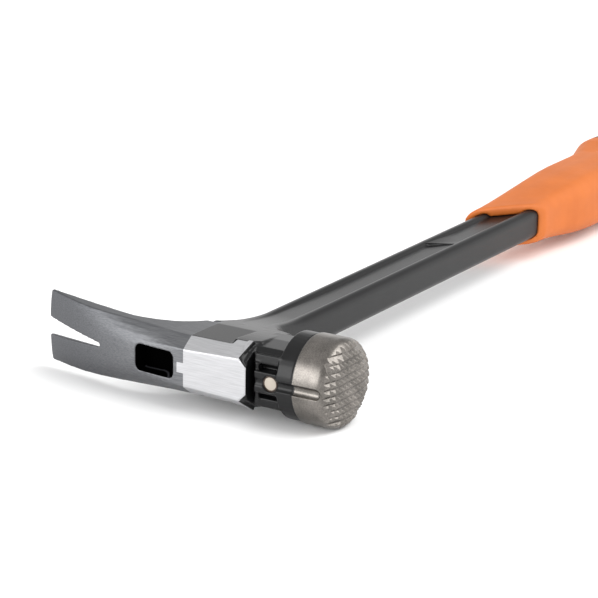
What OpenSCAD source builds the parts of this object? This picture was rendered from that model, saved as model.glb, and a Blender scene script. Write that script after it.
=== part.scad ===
// Framing hammer, lying on one cheek.
// X runs along the head towards the striking face, Y runs down the handle and Z is up.
// Every place is first given in the hammer's own frame: x = 0 at the striking face,
// y = 0 on the axis of the face and z = 0 in the middle plane.

/* [Striking cap] */
// Radius of the steel striking cap
cap_r = 18; // [17:0.1:20]
// Length of the cap from its face to the seam behind it
cap_l = 16.7; // [15:0.1:20]
// Length of the rounding between the flat of the face and the side of the cap
dome_l = 6.6; // [5:0.1:7.5]
// Radius of the flat in the middle of the face
dome_flat_r = 7.2; // [5:0.1:9]
// Distance between two rows of teeth
tooth_pitch = 3; // [2.6:0.1:4]
// Depth of the grooves between the teeth
tooth_depth = 1.35; // [1:0.05:1.6]
// Width of the flat left on top of a tooth
tooth_land = 0.4; // [0.2:0.1:0.8]
// Number of grooves each way across the face
tooth_rows = 10; // [8:1:10]
// Radius of the spigot that carries the cap
spigot_r = 11; // [9:0.1:12]
// Length of the spigot inside the cap
spigot_l = 9; // [6:0.1:9.5]
// Radius of the dowel that stops the cap turning
dowel_r = 1.5; // [1:0.1:1.8]
// Length of that dowel
dowel_l = 8; // [6:0.1:9]
// Thickness of the washer between steel and alloy
washer_t = 0.5; // [0.4:0.1:1]

/* [Nail holder] */
// Length of the round collar behind the cap
collar_l = 7.1; // [6:0.1:9]
// Radius of the collar
collar_r = 17.6; // [17:0.1:18.5]
// Length of the raised pad between the collar and the slot for the nail's head
pad_l = 10.4; // [8:0.1:13]
// Width of the slot for the nail's head
head_slot_w = 2.2; // [1.6:0.1:3]
// Height of the slot for the nail's head, across the cheeks
head_slot_h = 14; // [10:0.5:16]
// Depth of the slot under the flat top of the head
head_slot_d = 11; // [8:0.1:12]
// Radius of the groove that cradles the nail
nail_groove_r = 2.3; // [1.8:0.1:2.8]
// Depth of the nail groove in the collar
nail_groove_d = 2; // [1.2:0.1:2.4]
// Distance from the face to the closed end of the nail groove
nail_groove_end = 3.9; // [3:0.1:6]
// Radius of the magnet
magnet_r = 2.6; // [2:0.1:3.2]
// Length of the magnet
magnet_l = 5; // [3:0.1:7]
// Wall of the bush round the magnet
bush_wall = 0.6; // [0.4:0.1:1]

/* [Head block] */
// Length of the block from the nail slot to the joint with the claw
block_l = 28.9; // [24:0.1:36]
// Height of the flat top above the axis of the cap
top_h = 19.2; // [18.6:0.1:21]
// Width of the flat top at the claw joint
top_w = 15.4; // [12:0.1:18]
// Width of the flat top at the nail slot
top_w_front = 17.2; // [14:0.1:20]
// Drop of the sloping flank beside the flat top
flank_drop = 8.1; // [6:0.1:10]
// Thickness of the head across its cheeks
head_t = 27; // [24:0.1:30]
// Depth of the flat recess on each cheek
cheek_recess_d = 1.5; // [0.8:0.1:2]
// Length of the tapered corner beside the nail slot
corner_l = 3; // [2:0.1:4]
// Width left of the flat top at the end of that corner
corner_w = 11; // [8:0.1:13]
// Drop of the forged corners beside the nail slot below the flat top
horn_drop = 1.2; // [0.8:0.1:2]

/* [Claw] */
// Length of the claw from its joint to its tips
claw_l = 75.9; // [60:0.1:90]
// Drop of the claw's tips below the flat top
claw_drop = 15.6; // [8:0.1:20]
// Width across the tips
claw_w = 29.8; // [26:0.1:36]
// Thickness of the tips
tip_t = 2.7; // [1.5:0.1:4]
// Gap between the two tips
notch_w = 7.4; // [6:0.1:9]
// Length of the notch from the tips
notch_l = 32; // [24:0.1:40]
// Radius of the notch's blunt inner end
notch_r = 0.85; // [0.5:0.05:1.2]
// Length of the pocket sunk in the claw's top
pocket_l = 19.2; // [14:0.1:22]
// Width of the pocket
pocket_w = 11; // [8:0.1:12]
// Depth of the pocket
pocket_d = 10; // [6:0.1:10.4]
// Radius of the pocket's corners
pocket_r = 2.4; // [1:0.1:3]
// Length of the key that locks the block in the claw
key_l = 3.1; // [2:0.1:4]
// Width of that key
key_w = 4.2; // [3:0.1:6]
// Length of the claw's tang inside the block
tang_l = 18; // [14:0.1:20]
// Width of that tang across the cheeks
tang_w = 12; // [9:0.1:14]
// Depth of that tang along the handle
tang_h = 12; // [9:0.1:13]
// Radius of the two pins through the tang
pin_r = 2; // [1.5:0.1:2.5]

/* [Handle] */
// Length of the whole hammer from the flat top to the butt
hammer_l = 395; // [370:1:430]
// Depth of the handle in the direction of the swing
handle_d = 20.4; // [18:0.1:24]
// Thickness of the handle
handle_t = 14.3; // [13:0.1:17]
// Radius of the handle's long edges
handle_edge_r = 3.4; // [2.5:0.1:4]
// Distance of the handle's middle from the claw joint
handle_inset = 7.9; // [6:0.1:10]
// Radius of the sweep from the claw into the handle
sweep_r = 31; // [28:0.1:34]
// Distance below the axis at which the sweep meets the handle
sweep_y = 24.5; // [23:0.1:27]
// Radius of the inside corner between the neck and the handle
throat_r = 12; // [9:0.1:14]
// Depth of the long pocket in each cheek of the handle
channel_d = 1.7; // [1.5:0.1:2.6]
// Width of that long pocket
channel_w = 12.6; // [9:0.1:13]
// Distance from the axis of the cap at which that pocket reaches its full depth
channel_fade = 95; // [60:1:140]
// Distance from the axis of the cap to the slanting step in the pocket
step_y = 175; // [150:1:190]
// Height of the slanting step
step_h = 1.2; // [0.8:0.1:1.5]

/* [Grip] */
// Length of the grip
grip_l = 154; // [140:1:160]
// How far the front edge of the grip slants across the handle
grip_slant = 27; // [15:1:30]
// How far the grip stands out from the handle just behind its lip
grip_front_t = 2.5; // [2.3:0.1:3]
// How far the grip stands out from the handle in the palm
grip_palm_t = 6.8; // [5:0.1:8]
// How far the grip stands out at the butt
grip_butt_t = 8.6; // [6:0.1:10]
// Extra reach of the grip's hook at the butt, on the claw's side
hook_h = 4; // [2:0.1:6]
// Thickness of the rubber sleeve
rubber_t = 2; // [1.6:0.1:2]
// Depth by which the handle is slimmed inside the grip
tail_drop = 2; // [1.5:0.1:2.4]
// Length of the plug in the butt
plug_l = 14; // [12:0.1:18]
// Radius of the bore through the grip for a lanyard
lanyard_r = 2.75; // [2:0.05:3.2]
// Wall of the tube that lines the lanyard bore
lanyard_wall = 0.75; // [0.5:0.05:1]
// Radius of the butt screw's shank
screw_r = 2; // [1.5:0.1:2.5]
// Radius of the butt screw's head
screw_head_r = 4; // [3:0.1:4.5]

/* [Hidden] */
$fn = 64;
over = 1;               // how far a cut runs past the face that it opens
fit = 0.05;             // clearance round each piece that is pressed or bonded in
steel = [0.50, 0.50, 0.52];
black_coat = [0.13, 0.13, 0.14];

function ease(t) = t <= 0 ? 0 : t >= 1 ? 1 : t*t*(3 - 2*t);
function mix(a, b, t) = a + (b - a)*t;
function backwards(list) = [for (i = [len(list) - 1:-1:0]) list[i]];

// Places along the head, from the striking face back to the tips of the claw
seam_x = -cap_l;
collar_x1 = seam_x - washer_t;
collar_x0 = collar_x1 - collar_l;
pad_x0 = collar_x0 - pad_l;
block_x1 = pad_x0 - head_slot_w;
knee_x = block_x1 - corner_l;
joint_x = block_x1 - block_l;
tip_x = joint_x - claw_l;

// Places along the handle
heel_share = 0.41;                    // part of the sweep that belongs to the claw
thin_from_share = -0.5;               // the cheeks begin to thin towards the handle here
thin_to_share = 1.8;                  // and are as thin as the handle here
neck_low_share = 0.8;                 // underside of the neck, against the collar's radius
lanyard_share = 2.5;                  // lanyard bore above the butt, in lengths of the plug
butt_y = hammer_l - top_h;
plug_y = butt_y - plug_l;
grip_y = butt_y - grip_l;
grip_mid_y = grip_y + grip_slant/2;
slim_y = grip_y + grip_slant;         // the handle is slimmer from here to its end
lanyard_y = butt_y - lanyard_share*plug_l;
tail_y = lanyard_y - 2*(lanyard_r + lanyard_wall);   // end of the handle inside the grip
flank_y = flank_drop - top_h;
heel_y = sweep_y*heel_share;
thin_y0 = sweep_y*thin_from_share;
thin_y1 = sweep_y*thin_to_share;
neck_y = collar_r*neck_low_share;
throat_y = neck_y + throat_r;
handle_x = joint_x + handle_inset;
handle_x0 = handle_x - handle_d/2;
handle_x1 = handle_x + handle_d/2;

// Half the thickness of head and handle at a distance down the handle
function thinned(y) = ease((y - thin_y0)/(thin_y1 - thin_y0));
function half_t(y) = mix(head_t/2, handle_t/2, thinned(y));
cheek_z = head_t/2 - cheek_recess_d;

// Claw side and face side of the body in plan
function sweep_x(y) = handle_x0 - sweep_r + sqrt(sweep_r^2 - max(0, sweep_y - y)^2);
function face_side(y) = handle_x1 + throat_r
    - sqrt(throat_r^2 - max(0, throat_y - max(y, neck_y))^2);

// A closed solid through a list of rings, each with the same number of points
module loft(rings) {
    n = len(rings[0]);
    last = (len(rings) - 1)*n;
    sides = [for (k = [0:len(rings) - 2], i = [0:n - 1])
        let (a = k*n + i, b = k*n + (i + 1)%n)
        each [[a, a + n, b], [b, a + n, b + n]]];
    polyhedron([for (r = rings) each r],
        concat([[for (i = [0:n - 1]) i]], sides, [[for (i = [n - 1:-1:0]) last + i]]));
}

// A ring across the handle from the points of its upper half, in x and z
function flipped(half) = [for (p = backwards(half)) [p[0], -p[1]]];
function ring(y, half, lean = 0) = [for (p = backwards(concat(half, flipped(half))))
    [p[0], y + lean*(p[0] - handle_x), p[1]]];

// Quarter of a round corner, or of a square one where sharp is 1
arc_steps = 6;
function corner(cx, cz, r, quarter, sharp = 0) = [for (i = [0:arc_steps])
    let (a = 90*(quarter + i/arc_steps), reach = max(abs(cos(a)), abs(sin(a))))
    [cx, cz] + r*mix(1, 1/reach, sharp)*[cos(a), sin(a)]];

// Upper half of a rounded bar with a shallow channel in each cheek
channel_steps = 10;
channel_wall_share = 0.15;
function dip(u) = ease(min(u, 1 - u)/channel_wall_share);
function across(i) = i == channel_steps/2 ? 0.5 : i > channel_steps/2 ? 1 - across(channel_steps - i)
    : channel_wall_share*i*2/(channel_steps - 2);
function bar_half(x0, x1, z, r, w, d, sharp = 0, crown = 0) = concat(
    corner(x1 - r, z - r, r, 0),
    [for (i = [1:channel_steps - 1]) let (u = crown > 0 ? i/channel_steps : across(i))
        [(x0 + x1)/2 + w*(0.5 - u), z - d*dip(u) + crown*sin(180*u)]],
    corner(x0 + r, z - r, r, 1, sharp));

// Rings of the forged body, from its flat top to the slimmed tail inside the grip
head_edge_share = 0.35;
head_edge_r = handle_edge_r*head_edge_share;
bulge_share = 0.06;                   // the corner beside the nail slot is slightly round
bulge = corner_l*bulge_share;
function block_ring(y, w, w_knee, w_end) = ring(y, concat(
    [for (i = [0:arc_steps]) let (u = i/arc_steps)
        mix([block_x1, w_end], [knee_x, w_knee], u) + bulge*sin(180*u)*[1, 1]],
    [for (i = [1:channel_steps - 1]) let (u = i/channel_steps)
        mix([knee_x, w_knee], [joint_x + head_edge_r, w], u)],
    corner(joint_x + head_edge_r, w - head_edge_r, head_edge_r, 1, 1)));
function channel_at(y) = channel_d*ease(y/channel_fade);
function body_ring(y, x0, sharp = 0) = ring(y, bar_half(x0, face_side(y), half_t(y),
    mix(head_edge_r, handle_edge_r, thinned(y)), channel_w, channel_at(y), sharp));

// The handle's own section, where its channels reach their depth, and its slim tail
tail_channel_share = 0.4;
function handle_half(gap, drop, d) = bar_half(handle_x0 + drop - gap, handle_x1 - drop + gap,
    handle_t/2 - drop + gap, handle_edge_r - drop/2 + gap, channel_w - drop, d);
function tail_rings(gap, end) = [ring(slim_y + gap, handle_half(gap, 0, channel_d)),
    for (y = [slim_y + tail_drop + gap, end])
        ring(y, handle_half(gap, tail_drop, channel_d*tail_channel_share))];
head_steps = 5;
body_steps = 18;
fade_steps = 4;
block_rings = [block_ring(-top_h, top_w/2, top_w_front/2, corner_w/2),
    block_ring(flank_y, head_t/2, head_t/2, corner_w/2 + corner_l)];
head_rings = [for (i = [0:head_steps])
    body_ring(mix(flank_y + corner_l, heel_y, i/head_steps), joint_x, 1)];
sweep_rings = [for (i = [0:body_steps])
    let (y = mix(heel_y + fit, thin_y1, i/body_steps)) body_ring(y, sweep_x(y))];
fade_rings = [for (i = [1:fade_steps]) let (y = mix(thin_y1, channel_fade, i/fade_steps))
    ring(y, handle_half(0, 0, channel_at(y)))];

module placed() {
    translate([-tip_x/2, top_h - hammer_l/2, cap_r]) children();
}

module along_x(x, r, l, y = 0, z = 0) {
    translate([x, y, z]) rotate([0, 90, 0]) cylinder(r = r, h = l);
}

module along_y(y, r, l, x = 0, z = 0) {
    translate([x, y, z]) rotate([-90, 0, 0]) cylinder(r = r, h = l);
}

module block_between(x0, x1, y0, y1, z0, z1) {
    translate([x0, y0, z0]) cube([x1 - x0, y1 - y0, z1 - z0]);
}

module rounded(l, w, r) {
    square([l, w - 2*r], center = true);
    square([l - 2*r, w], center = true);
    for (sx = [-1, 1], sz = [-1, 1])
        translate([sx*(l/2 - r), sz*(w/2 - r)]) circle(r = r);
}

// The groove that cradles a nail runs from the slot to just short of the face
module nail_groove() {
    y = -cap_r - nail_groove_r + nail_groove_d;
    end = -nail_groove_end - nail_groove_r;
    along_x(pad_x0 - over, nail_groove_r, end - pad_x0 + over, y);
    translate([end, y, 0]) sphere(r = nail_groove_r);
}

magnet_x = collar_x0 - magnet_r - bush_wall;
magnet_y = -cap_r + nail_groove_d;

// Neck between block and collar, with the raised pad under the nail
// It has a valley beside the pad, then a slope up to a rim, and a groove outside that rim
neck_shares = [[-0.68, 0.26], [-0.71, 0.36], [-0.85, 0.4], [-0.81, 0.61], [-0.69, 0.6],
    [-0.6, 0.7], [0, 0.71], [0.55, 0.66], [0.8, 0.48]];
pad_share = 1.9;                      // half the pad's width, in radii of the nail groove
pad_rise_share = 0.4;                 // the pad stands this share of the groove's depth proud
horn_gap_share = 0.6;                 // the gap beside a horn, against the nail slot
module neck() {
    half = [for (s = neck_shares) collar_r*s];
    translate([knee_x - over, 0, 0]) rotate([90, 0, 90])
        linear_extrude(collar_x0 - knee_x + 2*over) polygon(concat(half,
            [for (p = backwards(half)) [p[0], -p[1]]]));
    block_between(block_x1 - over, collar_x0 + over, magnet_y - nail_groove_d*pad_rise_share, 0,
        -nail_groove_r*pad_share, nail_groove_r*pad_share);
}

// The wedge that makes the slanting step in each channel of the handle
step_run_share = 1.8;
module channel_step() {
    x0 = handle_x - channel_w/2;
    x1 = handle_x + channel_w/2;
    floor_z = handle_t/2 - channel_d;
    plan = [[x0, step_y - channel_w/2], [x1, step_y + channel_w/2],
        [x0, step_y + channel_w*step_run_share]];
    tops = [floor_z + step_h, floor_z - fit, floor_z - fit];
    for (side = [0, 1]) mirror([0, 0, side])
        polyhedron(concat([for (p = plan) [p[0], p[1], floor_z - over]],
            [for (i = [0:2]) [plan[i][0], plan[i][1], tops[i]]]),
            [[0, 1, 2], [0, 3, 4, 1], [1, 4, 5, 2], [2, 5, 3, 0], [3, 5, 4]]);
}

tang_rise_share = 0.6;
tang_y0 = -tang_h*tang_rise_share;
tang_y1 = tang_y0 + tang_h;
pin_shares = [0.28, 0.72];
pin_top = tang_w/2 + pin_r;

module tang_box(gap) {
    block_between(joint_x - over, joint_x + tang_l + gap, tang_y0 - gap, tang_y1 + gap,
        -tang_w/2 - gap, tang_w/2 + gap);
}

// The pins go in from the lower cheek; past is how far a hole runs out of that cheek
module pin_holes(gap, past = 0) {
    for (s = pin_shares)
        translate([joint_x + s*tang_l, (tang_y0 + tang_y1)/2, -cheek_z - past])
            cylinder(r = pin_r + gap, h = cheek_z + past + pin_top + gap);
}

module key_box(gap, past = 0) {
    block_between(joint_x - key_l - gap, joint_x + over, -top_h - past,
        -top_h + pocket_d + gap, -key_w/2 - gap, key_w/2 + gap);
}

module dowel(gap) {
    along_x(collar_x1 - dowel_l/2 - gap, dowel_r + gap, dowel_l + 2*gap,
        (spigot_r + collar_r)/2);
}

module lanyard_bore(r) {
    translate([handle_x, lanyard_y, -head_t]) cylinder(r = r, h = 2*head_t);
}

// The forged corners beside the nail slot stand a little lower than the flat top
module horns() {
    flank_in = (head_t - top_w_front)/2/flank_drop*horn_drop;
    for (side = [0, 1]) mirror([0, 0, side]) translate([knee_x - over, 0, 0]) rotate([90, 0, 90])
        linear_extrude(corner_l + over - fit) polygon([[-top_h + horn_drop, corner_w/2],
            [-top_h + horn_drop, top_w_front/2 - flank_in], [flank_y, head_t/2 - horn_drop],
            [0, head_t/2 - horn_drop], [0, corner_w/2]]);
}

recess_share = 0.65;                  // length of the cheek's recess against the block
module forged_body() color(black_coat) placed() difference() {
    union() {
        loft(concat(block_rings, head_rings, sweep_rings, fade_rings,
            tail_rings(0, tail_y)));
        channel_step();
        horns();
        neck();
        along_x(collar_x0, collar_r, collar_l);
        along_x(collar_x0 + over, spigot_r, collar_l - over + washer_t + spigot_l);
        key_box(0);
    }
    for (side = [0, 1]) mirror([0, 0, side])
        block_between(joint_x - over, joint_x + recess_share*block_l, -top_h - over,
            sweep_y/2, cheek_z, head_t);
    block_between(block_x1, pad_x0, -top_h - over, -top_h + head_slot_d,
        -head_slot_h/2, head_slot_h/2);
    block_between(block_x1, block_x1 + head_slot_w*horn_gap_share, -top_h - over,
        -top_h + head_slot_d*horn_gap_share, -head_t, head_t);
    nail_groove();
    along_y(magnet_y - 2*over, magnet_r + bush_wall + fit, magnet_l + 2*over, magnet_x);
    tang_box(fit);
    pin_holes(fit, over);
    dowel(fit);
}

// Outline of the claw at a share of its length, from 0 at the joint to 1 at the tips
under_y = sweep_y - sweep_r;
arch_x = handle_x0 - sweep_r;         // the sweep's highest place under the claw
root_share = 0.89;                    // width of the claw at its waist against its tips
waist_share = 0.42;                   // the notch begins near this share of the length
join_share = 0.3;                     // the claw's cheeks leave the block's shape by here
crown_share = 0.75;
bevel_share = 0.55;                   // bevel along the tips against their thickness
low_share = 0.6;                      // most that the flank takes of the claw's thickness
function claw_top(t) = -top_h + claw_drop*t^2;
function claw_under(x) = x > arch_x ? sweep_y - sqrt(max(0, sweep_r^2 - (x - arch_x)^2))
    : mix(under_y, claw_top(1) + tip_t, (arch_x - x)/(arch_x - tip_x));
function claw_half(y, t) = mix(min(half_t(y), cheek_z),
    claw_w/2*mix(root_share, 1, (t - waist_share)/(1 - waist_share)), ease(t/join_share));
function claw_flat(t) = mix(top_w/2, claw_w/2 - tip_t*bevel_share, ease(t/crown_share));
root_drop = flank_drop*(cheek_z - top_w/2)/(head_t/2 - top_w/2);
function claw_flank(t) = mix(root_drop, tip_t/2,
    ease((t - waist_share/2)/(1 - waist_share)));
cheek_shares = [0, 0.3, 0.6, 0.85];
crown_shares = [0.2, 0.4, 0.55, 0.7, 0.85];
crown_power = 3;
least_crown = 0.12;                   // even the flat top is very slightly round
flank_power = 1.1;
function claw_ring(t) = let (
    x = mix(joint_x, tip_x, t), top = claw_top(t), low = min(heel_y, claw_under(x)),
    y1 = min(top + claw_flank(t), mix(top, low, low_share)),
    edge = claw_half(y1, t), flat = claw_flat(t), round = ease(t/join_share),
    half = concat(
        [for (s = crown_shares) let (
            knee = crown_shares[2], past = (s - knee)/(1 - knee),
            z = mix(s > knee ? mix(flat, edge, past) : flat*s/knee, edge*s, round),
            least = least_crown/(y1 - top),
            square = s > knee ? mix(least, 1, past^flank_power) : least*(s/knee)^2,
            fall = mix(square, (z/edge)^crown_power, round))
            [top + (y1 - top)*fall, z]],
        [for (s = cheek_shares) let (y = mix(y1, low, s)) [y, claw_half(y, t)]],
        [[low, claw_half(low, t) - head_edge_r]]))
    [for (p = concat(half, [for (q = backwards(half)) [q[0], -q[1]]])) [x, p[0], p[1]]];
heel_t = (joint_x - sweep_x(heel_y))/claw_l;
claw_steps = 22;

module claw_notch() {
    tip = tip_x - over;
    apex = tip_x + notch_l - notch_r;
    tip_half = notch_w/2*(1 + over/notch_l);
    translate([0, hammer_l/2, 0]) rotate([90, 0, 0]) linear_extrude(hammer_l) {
        polygon([[apex, notch_r], [apex, -notch_r], [tip, -tip_half], [tip, tip_half]]);
        translate([apex, 0]) circle(r = notch_r);
    }
}

// The notch's walls lean away below its edges, so that a nail's head sits against them
notch_rise_share = 0.15;
notch_edge_share = 0.95;
notch_lean = 0.42;                    // sideways lean of each wall against its height
function notch_end(x, half) = [
    for (low = [0, 1]) let (y = claw_top((joint_x - x)/claw_l) + tip_t*notch_rise_share + low*claw_drop)
        for (side = [-1, 1]) [x, y, side*(half*notch_edge_share + low*claw_drop*notch_lean)]];
module notch_bevel() {
    corners = concat(notch_end(tip_x + notch_l - notch_r, notch_r),
        notch_end(tip_x - over, notch_w/2));
    polyhedron(corners, [[0, 1, 3, 2], [4, 6, 7, 5], [0, 4, 5, 1], [2, 3, 7, 6], [0, 2, 6, 4],
        [1, 5, 7, 3]]);
}

key_gap_share = 1.6;                  // the pocket begins this many key lengths from the joint
pocket_x1 = joint_x - key_l*key_gap_share;
module claw_pocket() {
    translate([pocket_x1 - pocket_l/2, -top_h + pocket_d, 0]) rotate([90, 0, 0])
        linear_extrude(pocket_d + over) rounded(pocket_l, pocket_w, pocket_r);
}

module claw() color(steel) placed() difference() {
    union() {
        loft(concat([claw_ring(0)],
            [for (i = [0:claw_steps]) claw_ring(mix(heel_t, 1, i/claw_steps))]));
        tang_box(0);
    }
    claw_notch();
    notch_bevel();
    claw_pocket();
    key_box(fit, over);
    pin_holes(fit);
}

module claw_pins() color(steel) placed() pin_holes(0);

// Profile of the cap: radius first, then distance from the striking face
dome_steps = 14;
dome_power = 0.84;                    // below 1 the dome is fuller than an ellipse
dome_points = [for (i = [0:dome_steps]) let (a = 90*i/dome_steps)
    [dome_flat_r + (cap_r - dome_flat_r)*cos(a)^dome_power, dome_l*(sin(a)^dome_power - 1)]];
bore_x = seam_x + spigot_l + fit;

// Each groove between the teeth is straight in the middle and leans down the dome at its ends
groove_lean = 18;
groove_reach_share = 0.933;           // the grooves run out at this share of the cap's radius
groove_end_share = 0.35;              // length of a leaning end against the cap's radius
groove_fall_share = 0.38;
module tooth_vee(from, to) {
    top = tooth_depth + over;
    half = (tooth_pitch - tooth_land)/2/tooth_depth*(tooth_depth + top);
    translate([0, 0, from]) linear_extrude(to - from)
        polygon([[-tooth_depth, 0], [top, -half], [top, half]]);
}
module tooth_groove(c) {
    out = max(0, (abs(c) - dome_flat_r)/(cap_r - dome_flat_r));
    hinge = sqrt((groove_reach_share*cap_r)^2 - c^2) - groove_end_share*cap_r;
    translate([-dome_l*groove_fall_share*out^2, c, 0]) {
        tooth_vee(-hinge - tooth_depth, hinge + tooth_depth);
        for (side = [0, 1]) mirror([0, 0, side]) translate([-tooth_depth, 0, hinge])
            rotate([0, -groove_lean, 0]) translate([tooth_depth, 0, 0])
                tooth_vee(-tooth_depth, cap_r - hinge);
    }
}
module tooth_grooves() {
    for (turn = [0, 90], i = [0:tooth_rows - 1])
        rotate([turn, 0, 0]) tooth_groove((i - (tooth_rows - 1)/2)*tooth_pitch);
}

module striking_cap() color(steel) placed() difference() {
    rotate([0, 90, 0]) rotate_extrude($fn = 96)
        polygon(concat([[spigot_r + fit, seam_x], [cap_r, seam_x]], dome_points,
            [[0, 0], [0, bore_x], [spigot_r + fit, bore_x]]));
    tooth_grooves();
    nail_groove();
    dowel(fit);
}

module cap_washer() color([0.05, 0.05, 0.05]) placed() difference() {
    along_x(collar_x1, collar_r, washer_t);
    along_x(collar_x1 - over, spigot_r + fit, washer_t + 2*over);
    nail_groove();
    dowel(fit);
}

module cap_dowel() color(steel) placed() dowel(0);

module nail_magnet() color([0.84, 0.80, 0.70]) placed()
    along_y(magnet_y, magnet_r, magnet_l - fit, magnet_x);

module magnet_bush() color([0.25, 0.17, 0.10]) placed() difference() {
    along_y(magnet_y, magnet_r + bush_wall, magnet_l - fit, magnet_x);
    along_y(magnet_y - over, magnet_r + fit, magnet_l + 2*over, magnet_x);
}

// How far the grip stands out from the handle, at a share of the grip's length
palm_shares = [0.55, 0.8, 0.95];      // palm begins, palm ends, flare is full
hook_shares = [0.75, 0.95];
lean_share = 0.45;                    // the slant of the front edge is gone by here
edge_share = 0.75;
crown_of_grip_share = 0.08;
function grip_t(s) = s < palm_shares[0]
    ? mix(grip_front_t, grip_palm_t, ease(s/palm_shares[0]))
    : mix(grip_palm_t, grip_butt_t, ease((s - palm_shares[1])/(palm_shares[2] - palm_shares[1])));
function hook(s) = hook_h*ease((s - hook_shares[0])/(hook_shares[1] - hook_shares[0]));
function lean(s) = grip_slant/handle_d*(1 - ease(s/lean_share));
function grip_ring(y, s, less) = let (g = grip_t(s) - less)
    ring(y, bar_half(handle_x0 - g - hook(s), handle_x1 + g, handle_t/2 + g,
        handle_edge_r + edge_share*g, channel_w, 0, 0, crown_of_grip_share*g), lean(s));
function grip_place(s) = mix(grip_mid_y, plug_y, s);
grip_steps = 15;
function grip_rings(less, from) = [for (i = [0:grip_steps])
    let (s = mix(from, 1, i/grip_steps)) grip_ring(grip_place(s), s, less)];

// The handle inside the grip, with a clearance all round
module handle_inside() {
    loft(concat([ring(grip_y - grip_slant, handle_half(fit, 0, channel_d))],
        tail_rings(fit, tail_y + fit)));
}

liner_share = 0.12;                   // the liner begins at this share of the grip
gap_share = fit/(plug_y - grip_mid_y);
module grip_sleeve() color([0.90, 0.42, 0.12]) placed() difference() {
    loft(concat([grip_ring(grip_mid_y - rubber_t/2, 0, rubber_t/2)], grip_rings(0, 0)));
    loft(concat(grip_rings(rubber_t, liner_share - gap_share),
        [grip_ring(plug_y + over, 1, rubber_t)]));
    handle_inside();
    lanyard_bore(lanyard_r + lanyard_wall + fit);
}

module grip_liner() color([0.10, 0.10, 0.10]) placed() difference() {
    loft(grip_rings(rubber_t + fit, liner_share));
    handle_inside();
    lanyard_bore(lanyard_r + lanyard_wall + fit);
    along_y(screw_y - over, screw_r, plug_y - screw_y + 2*over, handle_x);
}

// How the plug closes the butt: shares of its length and of the grip's overhang lost there
plug_shares = [[0, 0], [0.6, 0.05], [0.88, 0.16], [1, 0.46]];
head_l_share = 0.7;
hex_share = 0.8;
bite_share = 0.8;                     // how far the screw bites into the liner
head_y = butt_y - screw_head_r;
screw_y = plug_y - plug_l*bite_share;

module butt_plug() color([0.12, 0.12, 0.12]) placed() difference() {
    loft([for (p = plug_shares) grip_ring(plug_y + p[0]*plug_l, 1, p[1]*grip_butt_t)]);
    along_y(plug_y - over, screw_r + fit, plug_l + 2*over, handle_x);
    along_y(head_y, screw_head_r + fit, screw_head_r + over, handle_x);
}

module butt_screw() color(steel) placed() difference() {
    union() {
        along_y(screw_y, screw_r - fit, head_y + over - screw_y, handle_x);
        along_y(head_y, screw_head_r, screw_head_r*head_l_share, handle_x);
    }
    along_y(butt_y - screw_head_r*hex_share, screw_r*hex_share, screw_head_r, handle_x, $fn = 6);
}

module lanyard_tube() color(steel) placed() difference() {
    translate([handle_x, lanyard_y, -handle_t/2 - grip_palm_t])
        cylinder(r = lanyard_r + lanyard_wall, h = handle_t + 2*grip_palm_t);
    lanyard_bore(lanyard_r);
}

forged_body();
claw();
claw_pins();
striking_cap();
cap_washer();
cap_dowel();
nail_magnet();
magnet_bush();
grip_liner();
grip_sleeve();
butt_plug();
butt_screw();
lanyard_tube();
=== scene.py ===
import math

import bpy
from mathutils import Matrix, Vector


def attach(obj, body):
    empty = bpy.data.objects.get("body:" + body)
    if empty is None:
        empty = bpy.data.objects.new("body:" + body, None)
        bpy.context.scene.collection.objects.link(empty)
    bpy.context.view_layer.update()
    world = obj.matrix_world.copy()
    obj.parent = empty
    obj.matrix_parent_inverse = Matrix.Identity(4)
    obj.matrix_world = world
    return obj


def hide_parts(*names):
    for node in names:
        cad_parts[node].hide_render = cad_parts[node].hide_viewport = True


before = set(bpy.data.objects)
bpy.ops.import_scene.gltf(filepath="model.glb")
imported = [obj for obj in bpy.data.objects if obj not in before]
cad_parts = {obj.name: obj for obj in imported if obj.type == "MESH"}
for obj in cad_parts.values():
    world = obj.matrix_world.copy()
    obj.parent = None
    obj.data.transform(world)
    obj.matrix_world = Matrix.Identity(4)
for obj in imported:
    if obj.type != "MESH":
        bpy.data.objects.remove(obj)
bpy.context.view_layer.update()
print("frame loaded")

bpy.context.scene.view_settings.view_transform = "Standard"

mm = 0.001
faceCentre = Vector((70.85, -178.3, 18.0))  # middle of the striking face, in mm
mergeDistance = 0.002  # mm


def place(x, y, z):  # mm from the middle of the striking face, to metres in the frame
    return (Vector((x, y, z)) + faceCentre) * mm


def deselect():
    if bpy.context.object and bpy.context.object.mode != "OBJECT":
        bpy.ops.object.mode_set(mode="OBJECT")
    bpy.ops.object.select_all(action="DESELECT")


def pick(*pieces):
    deselect()
    for piece in pieces:
        piece.select_set(True)
    bpy.context.view_layer.objects.active = pieces[0]


def settle(piece):  # leaves the object at the origin with its place in its mesh
    pick(piece)
    bpy.ops.object.transform_apply(location=True, rotation=True, scale=True)
    return piece


def modify(piece, kind, **settings):
    pick(piece)
    modifier = piece.modifiers.new(kind.lower(), kind)
    for name, value in settings.items():
        setattr(modifier, name, value)
    bpy.ops.object.modifier_apply(modifier=modifier.name)


def copyOf(source, name):
    piece = bpy.data.objects.new(name, source.data.copy())
    bpy.context.scene.collection.objects.link(piece)
    return piece


def copyNode(node, name):  # a merged copy of a CAD node
    piece = copyOf(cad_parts[node], name)
    piece.data.materials.clear()
    pick(piece)
    bpy.ops.object.mode_set(mode="EDIT")
    bpy.ops.mesh.select_all(action="SELECT")
    bpy.ops.mesh.remove_doubles(threshold=mergeDistance * mm)
    bpy.ops.object.mode_set(mode="OBJECT")
    return piece


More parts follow.
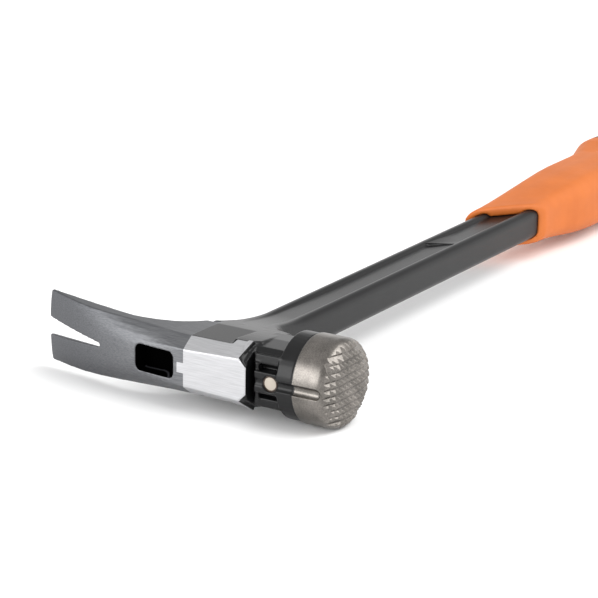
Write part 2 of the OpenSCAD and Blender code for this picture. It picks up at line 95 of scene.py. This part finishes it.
def outward(piece):  # turns every face outwards
    pick(piece)
    bpy.ops.object.mode_set(mode="EDIT")
    bpy.ops.mesh.select_all(action="SELECT")
    bpy.ops.mesh.normals_make_consistent(inside=False)
    bpy.ops.object.mode_set(mode="OBJECT")
    return piece


def prism(name, points, axis, start, end):  # points in mm, across the axis that it runs along
    deselect()
    bpy.ops.mesh.primitive_circle_add(vertices=len(points), fill_type="NGON")
    piece = bpy.context.object
    piece.name = name
    order = {"x": (1, 2, 0), "y": (0, 2, 1), "z": (0, 1, 2)}[axis]
    for vertex, point in zip(piece.data.vertices, points):
        spot = [0, 0, 0]
        spot[order[0]], spot[order[1]], spot[order[2]] = point[0], point[1], start
        vertex.co = place(*spot)
    bpy.ops.object.mode_set(mode="EDIT")
    bpy.ops.mesh.select_all(action="SELECT")
    move = [0, 0, 0]
    move[order[2]] = (end - start) * mm
    bpy.ops.mesh.extrude_region_move(TRANSFORM_OT_translate={"value": move})
    bpy.ops.object.mode_set(mode="OBJECT")
    return outward(settle(piece))


def solid(name, first, second):  # a closed piece between two rings of places in mm
    span = 10  # it starts as a plain prism of this radius and height
    turns = [2 * math.pi * i / len(first) for i in range(len(first))]
    plan = [(span * math.cos(turn), span * math.sin(turn)) for turn in turns]
    piece = prism(name, plan, "z", 0, span)
    for vertex in piece.data.vertices:
        ring = first if vertex.co.z < place(0, 0, span / 2).z else second
        index = min(range(len(plan)), key=lambda k: (vertex.co.xy - place(*plan[k], 0).xy).length)
        vertex.co = place(*ring[index])
    return outward(piece)


def roundedBox(low, high, half, r, steps=6):  # corners of a rounded rectangle, in x and z
    centres = [(high - r, half - r), (low + r, half - r), (low + r, r - half), (high - r, r - half)]
    corners = []
    for quarter, (x, z) in enumerate(centres):
        for step in range(steps + 1):
            turn = math.pi / 2 * (quarter + step / steps)
            corners.append((x + r * math.cos(turn), z + r * math.sin(turn)))
    return corners


def bar(name, radius, start, end):  # a round bar between two places in mm
    deselect()
    along = Vector(end) - Vector(start)
    bpy.ops.mesh.primitive_cylinder_add(vertices=32, radius=radius * mm, depth=along.length * mm,
                                        location=place(*((Vector(start) + Vector(end)) / 2)),
                                        rotation=along.to_track_quat("Z", "Y").to_euler())
    bpy.context.object.name = name
    return settle(bpy.context.object)


def boxed(name, low, high):  # a box between two corners in mm
    return prism(name, [(low[0], low[1]), (high[0], low[1]), (high[0], high[1]), (low[0], high[1])],
                 "z", *sorted((low[2], high[2])))


def onSide(side, places):  # places on the upper side, or mirrored to the lower one
    return [(x, y, side * z) for x, y, z in places]


def combine(piece, other, operation):
    modify(piece, "BOOLEAN", operation=operation, object=other, solver="EXACT")
    bpy.data.objects.remove(other)


def weld(*pieces):  # overlapping closed pieces that the forging then makes one
    pick(*pieces)
    bpy.ops.object.join()


def forge(piece, sizes):  # rounds every edge as a forging or a moulding has them
    modify(piece, "REMESH", mode="VOXEL", voxel_size=sizes["voxel"] * mm)
    modify(piece, "SMOOTH", factor=0.5, iterations=sizes["smoothing"])
    modify(piece, "DECIMATE", ratio=sizes["keep"])


def shade(piece, sharpAngle=None):  # smooth all over, or up to an angle in degrees
    pick(piece)
    if sharpAngle is None:
        bpy.ops.object.shade_smooth()
    else:
        bpy.ops.object.shade_smooth_by_angle(angle=math.radians(sharpAngle))


def finish(piece, material, slot, *nodes):
    piece.data.materials.clear()
    piece.data.materials.append(material)
    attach(piece, "root")
    if nodes:
        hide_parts(*nodes)
    print(piece.name, "done:", len(piece.data.polygons), "faces")


# Materials: every pattern is laid out in mm from the middle of the striking face

def linear(hexColour):
    parts = [int(hexColour[i:i + 2], 16) / 255 for i in (1, 3, 5)]
    return [p / 12.92 if p <= 0.04045 else ((p + 0.055) / 1.055) ** 2.4 for p in parts] + [1.0]


def addNode(tree, kind, links=None, values=None, stops=None, **settings):
    node = tree.nodes.new("ShaderNode" + kind)
    for name, value in settings.items():
        setattr(node, name, value)
    for socket, value in (values or {}).items():
        node.inputs[socket].default_value = value
    for socket, source in (links or {}).items():
        output = source.outputs[0] if isinstance(source, bpy.types.Node) else source
        tree.links.new(output, node.inputs[socket])
    for index, (spot, colour) in enumerate(stops or []):
        if index >= len(node.color_ramp.elements):
            node.color_ramp.elements.new(spot)
        stop = node.color_ramp.elements[index]
        stop.position = spot
        stop.color = linear(colour) if isinstance(colour, str) else [colour] * 3 + [1]
    return node


def newMaterial(name, **sockets):
    material = bpy.data.materials.new(name)
    material.use_nodes = True
    tree = material.node_tree
    shader = tree.nodes["Principled BSDF"]
    for socket, value in sockets.items():
        shader.inputs[socket.replace("_", " ")].default_value = value
    spot = addNode(tree, "Mapping", {"Vector": addNode(tree, "TexCoord").outputs["Object"]},
                   {"Scale": (1 / mm, 1 / mm, 1 / mm), "Location": -faceCentre})
    return material, tree, shader, spot


def drive(tree, shader, height, bump, **sources):  # bump is a depth in mm and a strength
    for socket, source in sources.items():
        tree.links.new(source.outputs[0], shader.inputs[socket.replace("_", " ")])
    relief = addNode(tree, "Bump", {"Height": height}, {"Strength": bump[1], "Distance": bump[0] * mm})
    tree.links.new(relief.outputs[0], shader.inputs["Normal"])


# Aluminium alloy forging, blasted and given a satin black coat, then ground bare on the flat top
# and its flanks: the coat has soft broad reflections, the bare faces are bright with fine streaks.
# The streaks are drawn 0.25 mm wide, coarser than real ones, so that they show.
coatedAlloySizes = {"coatDark": "#0a0a0b", "coatLight": "#111112", "coatRoughness": (0.28, 0.38),
                    "shine": 0.29,
                    "bareDark": "#b3b3b5", "bareLight": "#c9c9cb", "bareRoughness": (0.45, 0.58),
                    "coatGrain": 0.35, "cloud": 12, "streakLong": 9, "streakWide": 0.25, "bump": (0.03, 0.25),
                    "edgeX": -36.95, "edgeHalf": 5.5, "edgeSlope": 0.968,
                    "flankX": -40.5, "flankSlope": 0.27, "topY": -19.2,
                    "padY": -13.2, "flankY": -11.2, "jog": (-46.6, -45.4)}


def coatedAlloy(s):  # coat and bare metal in one, split where the grinding ends
    material, tree, shader, spot = newMaterial("coatedForgedAlloy", Specular_IOR_Level=s["shine"])
    grain = addNode(tree, "TexNoise", {"Vector": spot}, {"Scale": 1 / s["coatGrain"], "Detail": 2})
    cloud = addNode(tree, "TexNoise", {"Vector": spot}, {"Scale": 1 / s["cloud"], "Detail": 3})
    stretched = addNode(tree, "Mapping", {"Vector": spot}, {
        "Scale": (1 / s["streakLong"], 1 / s["streakWide"], 1 / s["streakWide"])})
    streaks = addNode(tree, "TexNoise", {"Vector": stretched}, {"Scale": 1, "Detail": 3})
    x, y, z = addNode(tree, "SeparateXYZ", {"Vector": spot}).outputs
    # bare on the claw's side of a border that has cut corners on the flat top and slants down each flank
    height = addNode(tree, "Math", {0: z}, operation="ABSOLUTE")
    past = addNode(tree, "Math", {0: height}, {1: s["edgeHalf"]}, operation="SUBTRACT")
    aside = addNode(tree, "Math", {0: past}, {1: 0}, operation="MAXIMUM")
    corner = addNode(tree, "Math", {0: aside}, {1: -s["edgeSlope"], 2: s["edgeX"]}, operation="MULTIPLY_ADD")
    flank = addNode(tree, "Math", {0: y}, {1: s["flankSlope"], 2: s["flankX"] - s["flankSlope"] * s["topY"]},
                    operation="MULTIPLY_ADD")
    line = addNode(tree, "Math", {0: corner, 1: flank}, operation="MAXIMUM")
    front = addNode(tree, "Math", {0: x, 1: line}, operation="LESS_THAN")
    # bare down to the border of the dark cheek, which steps down near the front
    low = addNode(tree, "MapRange", {"Value": x}, {"From Min": s["jog"][0], "From Max": s["jog"][1],
                  "To Min": s["padY"], "To Max": s["flankY"]}, interpolation_type="SMOOTHSTEP")
    above = addNode(tree, "Math", {0: y, 1: low}, operation="LESS_THAN")
    bare = addNode(tree, "Math", {0: front, 1: above}, operation="MULTIPLY")
    coatColour = addNode(tree, "ValToRGB", {"Fac": cloud}, stops=[
        (0.3, s["coatDark"]), (0.7, s["coatLight"])])
    bareColour = addNode(tree, "ValToRGB", {"Fac": streaks}, stops=[
        (0.3, s["bareDark"]), (0.7, s["bareLight"])])
    colour = addNode(tree, "MixRGB", {"Fac": bare, "Color1": coatColour, "Color2": bareColour})
    coatRough = addNode(tree, "MapRange", {"Value": grain}, {
        "To Min": s["coatRoughness"][0], "To Max": s["coatRoughness"][1]})
    bareRough = addNode(tree, "MapRange", {"Value": streaks}, {
        "To Min": s["bareRoughness"][0], "To Max": s["bareRoughness"][1]})
    rough = addNode(tree, "MixRGB", {"Fac": bare, "Color1": coatRough, "Color2": bareRough})
    relief = addNode(tree, "MixRGB", {"Fac": bare, "Color1": grain, "Color2": streaks})
    drive(tree, shader, relief, s["bump"], Base_Color=colour, Roughness=rough, Metallic=bare)
    return material


# Forged tool steel, ground lengthwise and lacquered clear: grey with fine streaks along the head,
# darker towards the tips as painted shade, and black inside the pocket as painted shade, with a painted
# highlight along its wall. The streaks are drawn 0.22 mm wide, coarser than real ones.
groundSteelSizes = {"dark": "#646568", "light": "#838486", "shadedTipDark": "#535457", "shadedTipLight": "#6b6c6f",
                    "roughness": (0.42, 0.56), "streakLong": 8, "streakWide": 0.22, "tipShade": (-135, -72),
                    "bump": (0.03, 0.25), "topX": -65.8, "topY": -19.2, "topRun": 75.9, "topFall": 15.6,
                    # the pocket's black is painted shade, and its band colour a painted highlight
                    "pocketX": (-90.05, -70.65), "pocketHalf": 5.6, "pocketDepth": 0.7, "pocketEndY": -7.6,
                    "black": "#030303", "bandHighlight": "#3c3c40", "bandY": -11.8, "bandWide": 1.2,
                    "bandZ": -5.2, "bandTurn": (-80, 6.1, 6.2)}


def groundSteel(s):
    material, tree, shader, spot = newMaterial("groundForgedSteel")
    stretched = addNode(tree, "Mapping", {"Vector": spot}, {
        "Scale": (1 / s["streakLong"], 1 / s["streakWide"], 1 / s["streakWide"])})
    streaks = addNode(tree, "TexNoise", {"Vector": stretched}, {"Scale": 1, "Detail": 4})
    x, y, z = addNode(tree, "SeparateXYZ", {"Vector": spot}).outputs
    # painted shade: the steel's colour darkens towards the tips
    near = addNode(tree, "ValToRGB", {"Fac": streaks}, stops=[(0.3, s["dark"]), (0.7, s["light"])])
    far = addNode(tree, "ValToRGB", {"Fac": streaks}, stops=[(0.3, s["shadedTipDark"]), (0.7, s["shadedTipLight"])])
    tipShade = addNode(tree, "MapRange", {"Value": x}, {"From Min": s["tipShade"][0], "From Max": s["tipShade"][1]},
                   interpolation_type="SMOOTHSTEP")
    steel = addNode(tree, "MixRGB", {"Fac": tipShade, "Color1": far, "Color2": near})
    # the claw's top falls away towards the tips, and the pocket's painted shade, plain black, begins below it
    along = addNode(tree, "Math", {0: x}, {1: -s["topX"]}, operation="ADD")
    fall = addNode(tree, "Math", {0: along}, {1: 2}, operation="POWER")
    bend = s["topFall"] / s["topRun"] ** 2
    top = addNode(tree, "Math", {0: fall}, {1: bend, 2: s["topY"] + s["pocketDepth"]},
                  operation="MULTIPLY_ADD")
    height = addNode(tree, "Math", {0: z}, operation="ABSOLUTE")
    inside = addNode(tree, "Math", {0: height}, {1: s["pocketHalf"]}, operation="LESS_THAN")
    limits = [addNode(tree, "Math", {0: x}, {1: s["pocketX"][0]}, operation="GREATER_THAN"),
              addNode(tree, "Math", {0: x}, {1: s["pocketX"][1]}, operation="LESS_THAN"),
              addNode(tree, "Math", {0: y, 1: top}, operation="GREATER_THAN"),
              addNode(tree, "Math", {0: y}, {1: s["pocketEndY"]}, operation="LESS_THAN")]
    for limit in limits:
        inside = addNode(tree, "Math", {0: inside, 1: limit}, operation="MULTIPLY")
    # a painted highlight runs along the pocket's lower wall where it meets the floor, and turns up at the end
    # nearest the joint
    turnX, turnRise, turnRun = s["bandTurn"]
    past = addNode(tree, "MapRange", {"Value": x}, {"From Min": turnX, "From Max": turnX + turnRun})
    turned = addNode(tree, "Math", {0: past}, {1: 2}, operation="POWER")
    highlightLine = addNode(tree, "Math", {0: turned}, {1: -turnRise, 2: s["bandY"]}, operation="MULTIPLY_ADD")
    away = addNode(tree, "Math", {0: y, 1: highlightLine}, operation="SUBTRACT")
    off = addNode(tree, "Math", {0: away}, operation="ABSOLUTE")
    edge = addNode(tree, "MapRange", {"Value": off}, {
        "From Min": 0, "From Max": s["bandWide"], "To Min": 1, "To Max": 0}, interpolation_type="SMOOTHSTEP")
    wall = addNode(tree, "Math", {0: z}, {1: s["bandZ"]}, operation="LESS_THAN")
    highlightBand = addNode(tree, "Math", {0: edge, 1: wall}, operation="MULTIPLY")
    # inside the pocket: black as painted shade, with the painted highlight mixed in
    hollow = addNode(tree, "MixRGB", {"Fac": highlightBand}, {
        "Color1": linear(s["black"]), "Color2": linear(s["bandHighlight"])})
    colour = addNode(tree, "MixRGB", {"Fac": inside, "Color1": steel, "Color2": hollow})
    rough = addNode(tree, "MapRange", {"Value": streaks}, {
        "To Min": s["roughness"][0], "To Max": s["roughness"][1]})
    # reflections are turned off inside the pocket, as part of its painted shade
    outside = addNode(tree, "Math", {1: inside}, {0: 1}, operation="SUBTRACT")
    drive(tree, shader, streaks, s["bump"], Base_Color=colour, Roughness=rough, Metallic=outside,
          Specular_IOR_Level=outside)
    return material


# Hardened steel, blasted: warm grey and evenly matt with a fine grain, rubbed brighter in patches.
# The grain is drawn 0.45 mm wide, coarser than real blasting.
blastedSteelSizes = {"dark": "#605d59", "light": "#88837e", "roughness": (0.28, 0.4),
                     "cloud": 7, "grain": 0.45, "bump": (0.05, 0.4)}


def blastedSteel(s):
    material, tree, shader, spot = newMaterial("blastedSteel", Metallic=1.0)
    cloud = addNode(tree, "TexNoise", {"Vector": spot}, {"Scale": 1 / s["cloud"], "Detail": 4})
    grain = addNode(tree, "TexNoise", {"Vector": spot}, {"Scale": 1 / s["grain"], "Detail": 2})
    both = addNode(tree, "Math", {0: cloud, 1: grain}, operation="ADD")
    middle = addNode(tree, "Math", {0: both}, {1: 0.5}, operation="MULTIPLY")
    colour = addNode(tree, "ValToRGB", {"Fac": middle}, stops=[(0.36, s["dark"]), (0.64, s["light"])])
    rough = addNode(tree, "MapRange", {"Value": grain}, {
        "To Min": s["roughness"][0], "To Max": s["roughness"][1]})
    drive(tree, shader, grain, s["bump"], Base_Color=colour, Roughness=rough)
    return material


# Moulded and turned pieces: an even colour with the fine grain of a spark-eroded mould or a plated
# surface, drawn 0.4 mm wide, coarser than it is
grainySizes = {"cloud": 15, "grain": 0.4, "spread": 0.05, "bump": (0.03, 0.3)}


def grainy(name, dark, light, roughness, metallic=0.0, s=grainySizes):
    material, tree, shader, spot = newMaterial(name, Metallic=metallic)
    cloud = addNode(tree, "TexNoise", {"Vector": spot}, {"Scale": 1 / s["cloud"], "Detail": 3})
    grain = addNode(tree, "TexNoise", {"Vector": spot}, {"Scale": 1 / s["grain"], "Detail": 2})
    colour = addNode(tree, "ValToRGB", {"Fac": cloud}, stops=[(0.3, dark), (0.7, light)])
    rough = addNode(tree, "MapRange", {"Value": grain}, {
        "To Min": roughness - s["spread"], "To Max": roughness + s["spread"]})
    drive(tree, shader, grain, s["bump"], Base_Color=colour, Roughness=rough)
    return material


blackCoat = coatedAlloy(coatedAlloySizes)
clawSteel = groundSteel(groundSteelSizes)
capSteel = blastedSteel(blastedSteelSizes)
# thermoplastic rubber, moulded over a liner: bright orange and matt
orangeRubber = grainy("mouldedRubber", "#bb601a", "#c56821", 0.6)
# hard rubber, moulded: nearly black, with a dull broad shine
blackRubber = grainy("hardBlackRubber", "#161617", "#1e1e1f", 0.55)
# nylon with glass fibre, moulded: black and satin
blackNylon = grainy("blackNylon", "#101011", "#171718", 0.5)
# phenolic plastic, moulded: dark brown and satin
brownPlastic = grainy("brownPlastic", "#2c1c10", "#3c2818", 0.4)
# magnet, sintered and ground: pale warm grey and matt
paleMagnet = grainy("sinteredMagnet", "#a1978a", "#c3baad", 0.5)
# steel, turned and plated: bright grey metal
turnedSteel = grainy("turnedSteel", "#8f8f91", "#adadaf", 0.3, 1.0)
print("materials made")

# Forged body and claw: one forging first, so that their ground faces run on across the joint.
# Places are in mm from the middle of the striking face. What is made on both sides is given for the
# upper one. The voxel is in mm, and keep is the share of the faces that stays.
forgingSizes = {
    "voxel": 0.36, "smoothing": 3, "keep": 0.4, "sharpAngle": 50,
    "flankEnd": [(-39.95, -19.2, 8.6), (-40.6, -11.12, 14.24), (-37.8, -11.12, 14.24)],
    "flankBack": (2, 2.9),  # how far the piece reaches back into the block, along y and z
    "recessEnd": [(-67, 10, 12), (-47, 17, 17)],
    "hollow": [(-36.2, -14.0, 13.3), (-24.6, -14.0, 13.3)], "hollowRadius": 2.4,
    "recessClosed": [(-34.9, -15.7, 4), (-33.2, -11, 7.4)],
    "cove": [(-39.6, -21.24, 7.26), (-37.1, -11.65, 15.03)], "coveRadius": 0.95,
    "jointFill": [(-18.7, -7.2), (-18.7, 7.2), (-13.5, 11.6), (7.8, 11.4), (7.8, -11.4), (-13.5, -11.6)],
    "jointFillX": (-69.8, -62),
    "heelFill": [(7, -11.7), (7, 11.7), (13.2, 10.75), (13.2, -10.75)], "heelFillX": (-67.4, -64),
    "tipCorner": [(-142.5, 15.5), (-140.5, 15.5), (-142.5, 13.5)], "tipCornerY": (-6, 2),
    "step": [(-64.2, 168.7), (-51.6, 181.3), (-64.2, 197.7)], "stepFoot": 4.6, "stepTops": (6.8, 5.42, 5.42),
    "pocket": (-90.02, -70.7, 5.56, 2.6),  # its two ends, half its width and its corner radius
    "pocketY": (-25, -9.3),
    "clawSpace": [(-150, -25, -20), (-65.8, 10.045, 20)],
    "keySpace": [(-68.9, -26, -2.1), (-64.8, -9.2, 2.1)]}

s = forgingSizes
forging = copyNode("forged_body", "forgedBody")
for side in (-1, 1):
    # the ground flank runs on to a slanting end, and the cheek's recess fades out behind the joint
    inner = [(x, y + s["flankBack"][0], z - s["flankBack"][1]) for x, y, z in s["flankEnd"]]
    combine(forging, solid("flankEnd", onSide(side, s["flankEnd"]), onSide(side, inner)), "UNION")
    combine(forging, boxed("recessEnd", *onSide(side, s["recessEnd"])), "DIFFERENCE")
    # beside the raised pad: a hollow below the cheek's edge, and a closed end to the recess
    combine(forging, bar("hollow", s["hollowRadius"], *onSide(side, s["hollow"])), "DIFFERENCE")
    combine(forging, boxed("recessClosed", *onSide(side, s["recessClosed"])), "UNION")
for side in (-1, 1):  # a cove between each ground flank and the forged corner beyond it
    combine(forging, bar("cove", s["coveRadius"], *onSide(side, s["cove"])), "DIFFERENCE")
jointFill = prism("jointFill", s["jointFill"], "x", *s["jointFillX"])
heelFill = prism("heelFill", s["heelFill"], "x", *s["heelFillX"])
clawCopy = copyNode("claw", "clawCopy")
for side in (-1, 1):  # the outer corners of the tips are rounded
    corner = [(x, z * side) for x, z in s["tipCorner"]]
    combine(clawCopy, prism("tipCorner", corner, "y", *s["tipCornerY"]), "DIFFERENCE")
weld(forging, clawCopy, jointFill, heelFill)
forge(forging, s)
for side in (-1, 1):  # the slanting step in each channel keeps a crisp edge
    foot = [(x, y, side * s["stepFoot"]) for x, y in s["step"]]
    top = [(x, y, side * z) for (x, y), z in zip(s["step"], s["stepTops"])]
    combine(forging, solid("step", foot, top), "UNION")
# the pocket's machined edge is crisp
combine(forging, prism("pocketSpace", roundedBox(*s["pocket"]), "y", *s["pocketY"]), "DIFFERENCE")
print("forging", len(forging.data.polygons))
# the claw is what lies beyond the joint, but for the key that the body keeps
clawSpace = boxed("clawSpace", *s["clawSpace"])
combine(clawSpace, boxed("keySpace", *s["keySpace"]), "DIFFERENCE")
claw = copyOf(forging, "steelClaw")
modify(claw, "BOOLEAN", operation="INTERSECT", object=clawSpace, solver="EXACT")
combine(forging, clawSpace, "DIFFERENCE")
for piece in (forging, claw):
    shade(piece, s["sharpAngle"])
finish(forging, blackCoat, "black_coat", "forged_body")
finish(claw, clawSteel, "bare_steel", "claw")

# Striking cap: fine enough a grid to keep its teeth
capSizes = {"voxel": 0.19, "smoothing": 1, "keep": 0.4}
cap = copyNode("striking_cap", "strikingCap")
forge(cap, capSizes)
shade(cap)
finish(cap, capSteel, "bare_steel", "striking_cap")

# Grip and butt plug: soft moulded edges
gripSizes = {"voxel": 0.7, "smoothing": 6, "keep": 0.5}
for node, name, material, slot in (("grip_sleeve", "gripSleeve", orangeRubber, "rubber"),
                                   ("butt_plug", "buttPlug", blackRubber, "plug")):
    piece = copyNode(node, name)
    forge(piece, gripSizes)
    shade(piece)
    finish(piece, material, slot, node)

# Pieces whose solids are right as they are get their finish here
nodeFinish = {"claw_pins": turnedSteel, "cap_washer": blackNylon, "cap_dowel": turnedSteel,
              "nail_magnet": paleMagnet, "magnet_bush": brownPlastic, "grip_liner": blackNylon,
              "butt_screw": turnedSteel, "lanyard_tube": turnedSteel}
for node, material in nodeFinish.items():
    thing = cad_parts[node]
    thing.data.materials.clear()
    thing.data.materials.append(material)
print("nodes finished")

# Floor: plain, pale and matt, just below the hammer

floorSizes = {"side": 6, "drop": 0.0002, "colour": "#fafafa", "roughness": 0.9}
deselect()
bpy.ops.mesh.primitive_plane_add(size=floorSizes["side"], location=(0, 0, -floorSizes["drop"]))
floor = bpy.context.object
floor.name = "floor"
floorMaterial = bpy.data.materials.new("paleFloor")
floorMaterial.use_nodes = True
floorShader = floorMaterial.node_tree.nodes["Principled BSDF"]
floorShader.inputs["Base Color"].default_value = linear(floorSizes["colour"])
floorShader.inputs["Roughness"].default_value = floorSizes["roughness"]
floorShader.inputs["Specular IOR Level"].default_value = 0.0
floor.data.materials.append(floorMaterial)

# Light: a pale studio with a soft box low in front on the left and another high on the right.
# Each level is a height above the horizon, where 1 is straight up, and its strength.

lightSizes = {"strength": 1.5,
              "levels": [(0.0, 1.0), (0.32, 0.95), (0.47, 0.34), (0.65, 0.4), (0.85, 0.56), (1.0, 0.56)],
              # place, target, size and power
              "frontBox": ((-0.68, -1.3, 0.5), (0, -0.16, 0.02), (0.9, 0.8), 10),
              "highBox": ((0.9, 0.2, 1.1), (0, -0.05, 0), (1.2, 1.2), 18)}
world = bpy.data.worlds.new("studio")
bpy.context.scene.world = world
world.use_nodes = True
tree = world.node_tree
facing = addNode(tree, "SeparateXYZ", {"Vector": addNode(tree, "TexCoord").outputs["Generated"]})
levels = addNode(tree, "ValToRGB", {"Fac": facing.outputs["Z"]}, stops=lightSizes["levels"])
glow = addNode(tree, "Math", {0: levels}, {1: lightSizes["strength"]}, operation="MULTIPLY")
tree.links.new(glow.outputs[0], tree.nodes["Background"].inputs["Strength"])
tree.nodes["Background"].inputs["Color"].default_value = linear("#ffffff")


def softLight(name, spot, target, size, power):
    data = bpy.data.lights.new(name, "AREA")
    data.shape = "RECTANGLE"
    data.size, data.size_y = size
    data.energy = power
    lamp = bpy.data.objects.new(name, data)
    bpy.context.scene.collection.objects.link(lamp)
    lamp.location = spot
    lamp.rotation_euler = (Vector(target) - Vector(spot)).to_track_quat("-Z", "Y").to_euler()


for name in ("frontBox", "highBox"):
    softLight(name, *lightSizes[name])
print("light set")

# Camera, fitted to the photograph: angles in degrees, picture places and focal length in pixels,
# aim and depth in mm

cameraSizes = {"azimuth": 30.801, "elevation": 17.332, "roll": 1.079,
               "focal": 2750.25, "middle": (335.96, 307.94),
               "aim": (-45, 0, 0), "aimPixel": (254.455, 364.921), "depth": 1078.93,
               "picture": 598, "sensor": 36, "clipStart": 0.05}
s = cameraSizes
azimuth, elevation, roll = (math.radians(s[k]) for k in ("azimuth", "elevation", "roll"))
back = Vector((math.sin(azimuth) * math.cos(elevation), -math.cos(azimuth) * math.cos(elevation),
               math.sin(elevation)))
level = Vector((math.cos(azimuth), math.sin(azimuth), 0))
upright = level.cross(-back)
right = math.cos(roll) * level + math.sin(roll) * upright
up = -math.sin(roll) * level + math.cos(roll) * upright
offsetX = (s["aimPixel"][0] - s["middle"][0]) / s["focal"] * s["depth"]
offsetY = (s["middle"][1] - s["aimPixel"][1]) / s["focal"] * s["depth"]
spot = place(*s["aim"]) + (back * s["depth"] - right * offsetX - up * offsetY) * mm
cameraData = bpy.data.cameras.new("camera")
camera = bpy.data.objects.new("camera", cameraData)
bpy.context.scene.collection.objects.link(camera)
camera.matrix_world = Matrix((right, up, back)).transposed().to_4x4()
camera.location = spot
cameraData.sensor_width = s["sensor"]
cameraData.lens = s["focal"] / s["picture"] * s["sensor"]
cameraData.shift_x = (s["picture"] / 2 - s["middle"][0]) / s["picture"]
cameraData.shift_y = (s["middle"][1] - s["picture"] / 2) / s["picture"]
cameraData.clip_start = s["clipStart"]
bpy.context.scene.camera = camera

deselect()
print("scene ready")
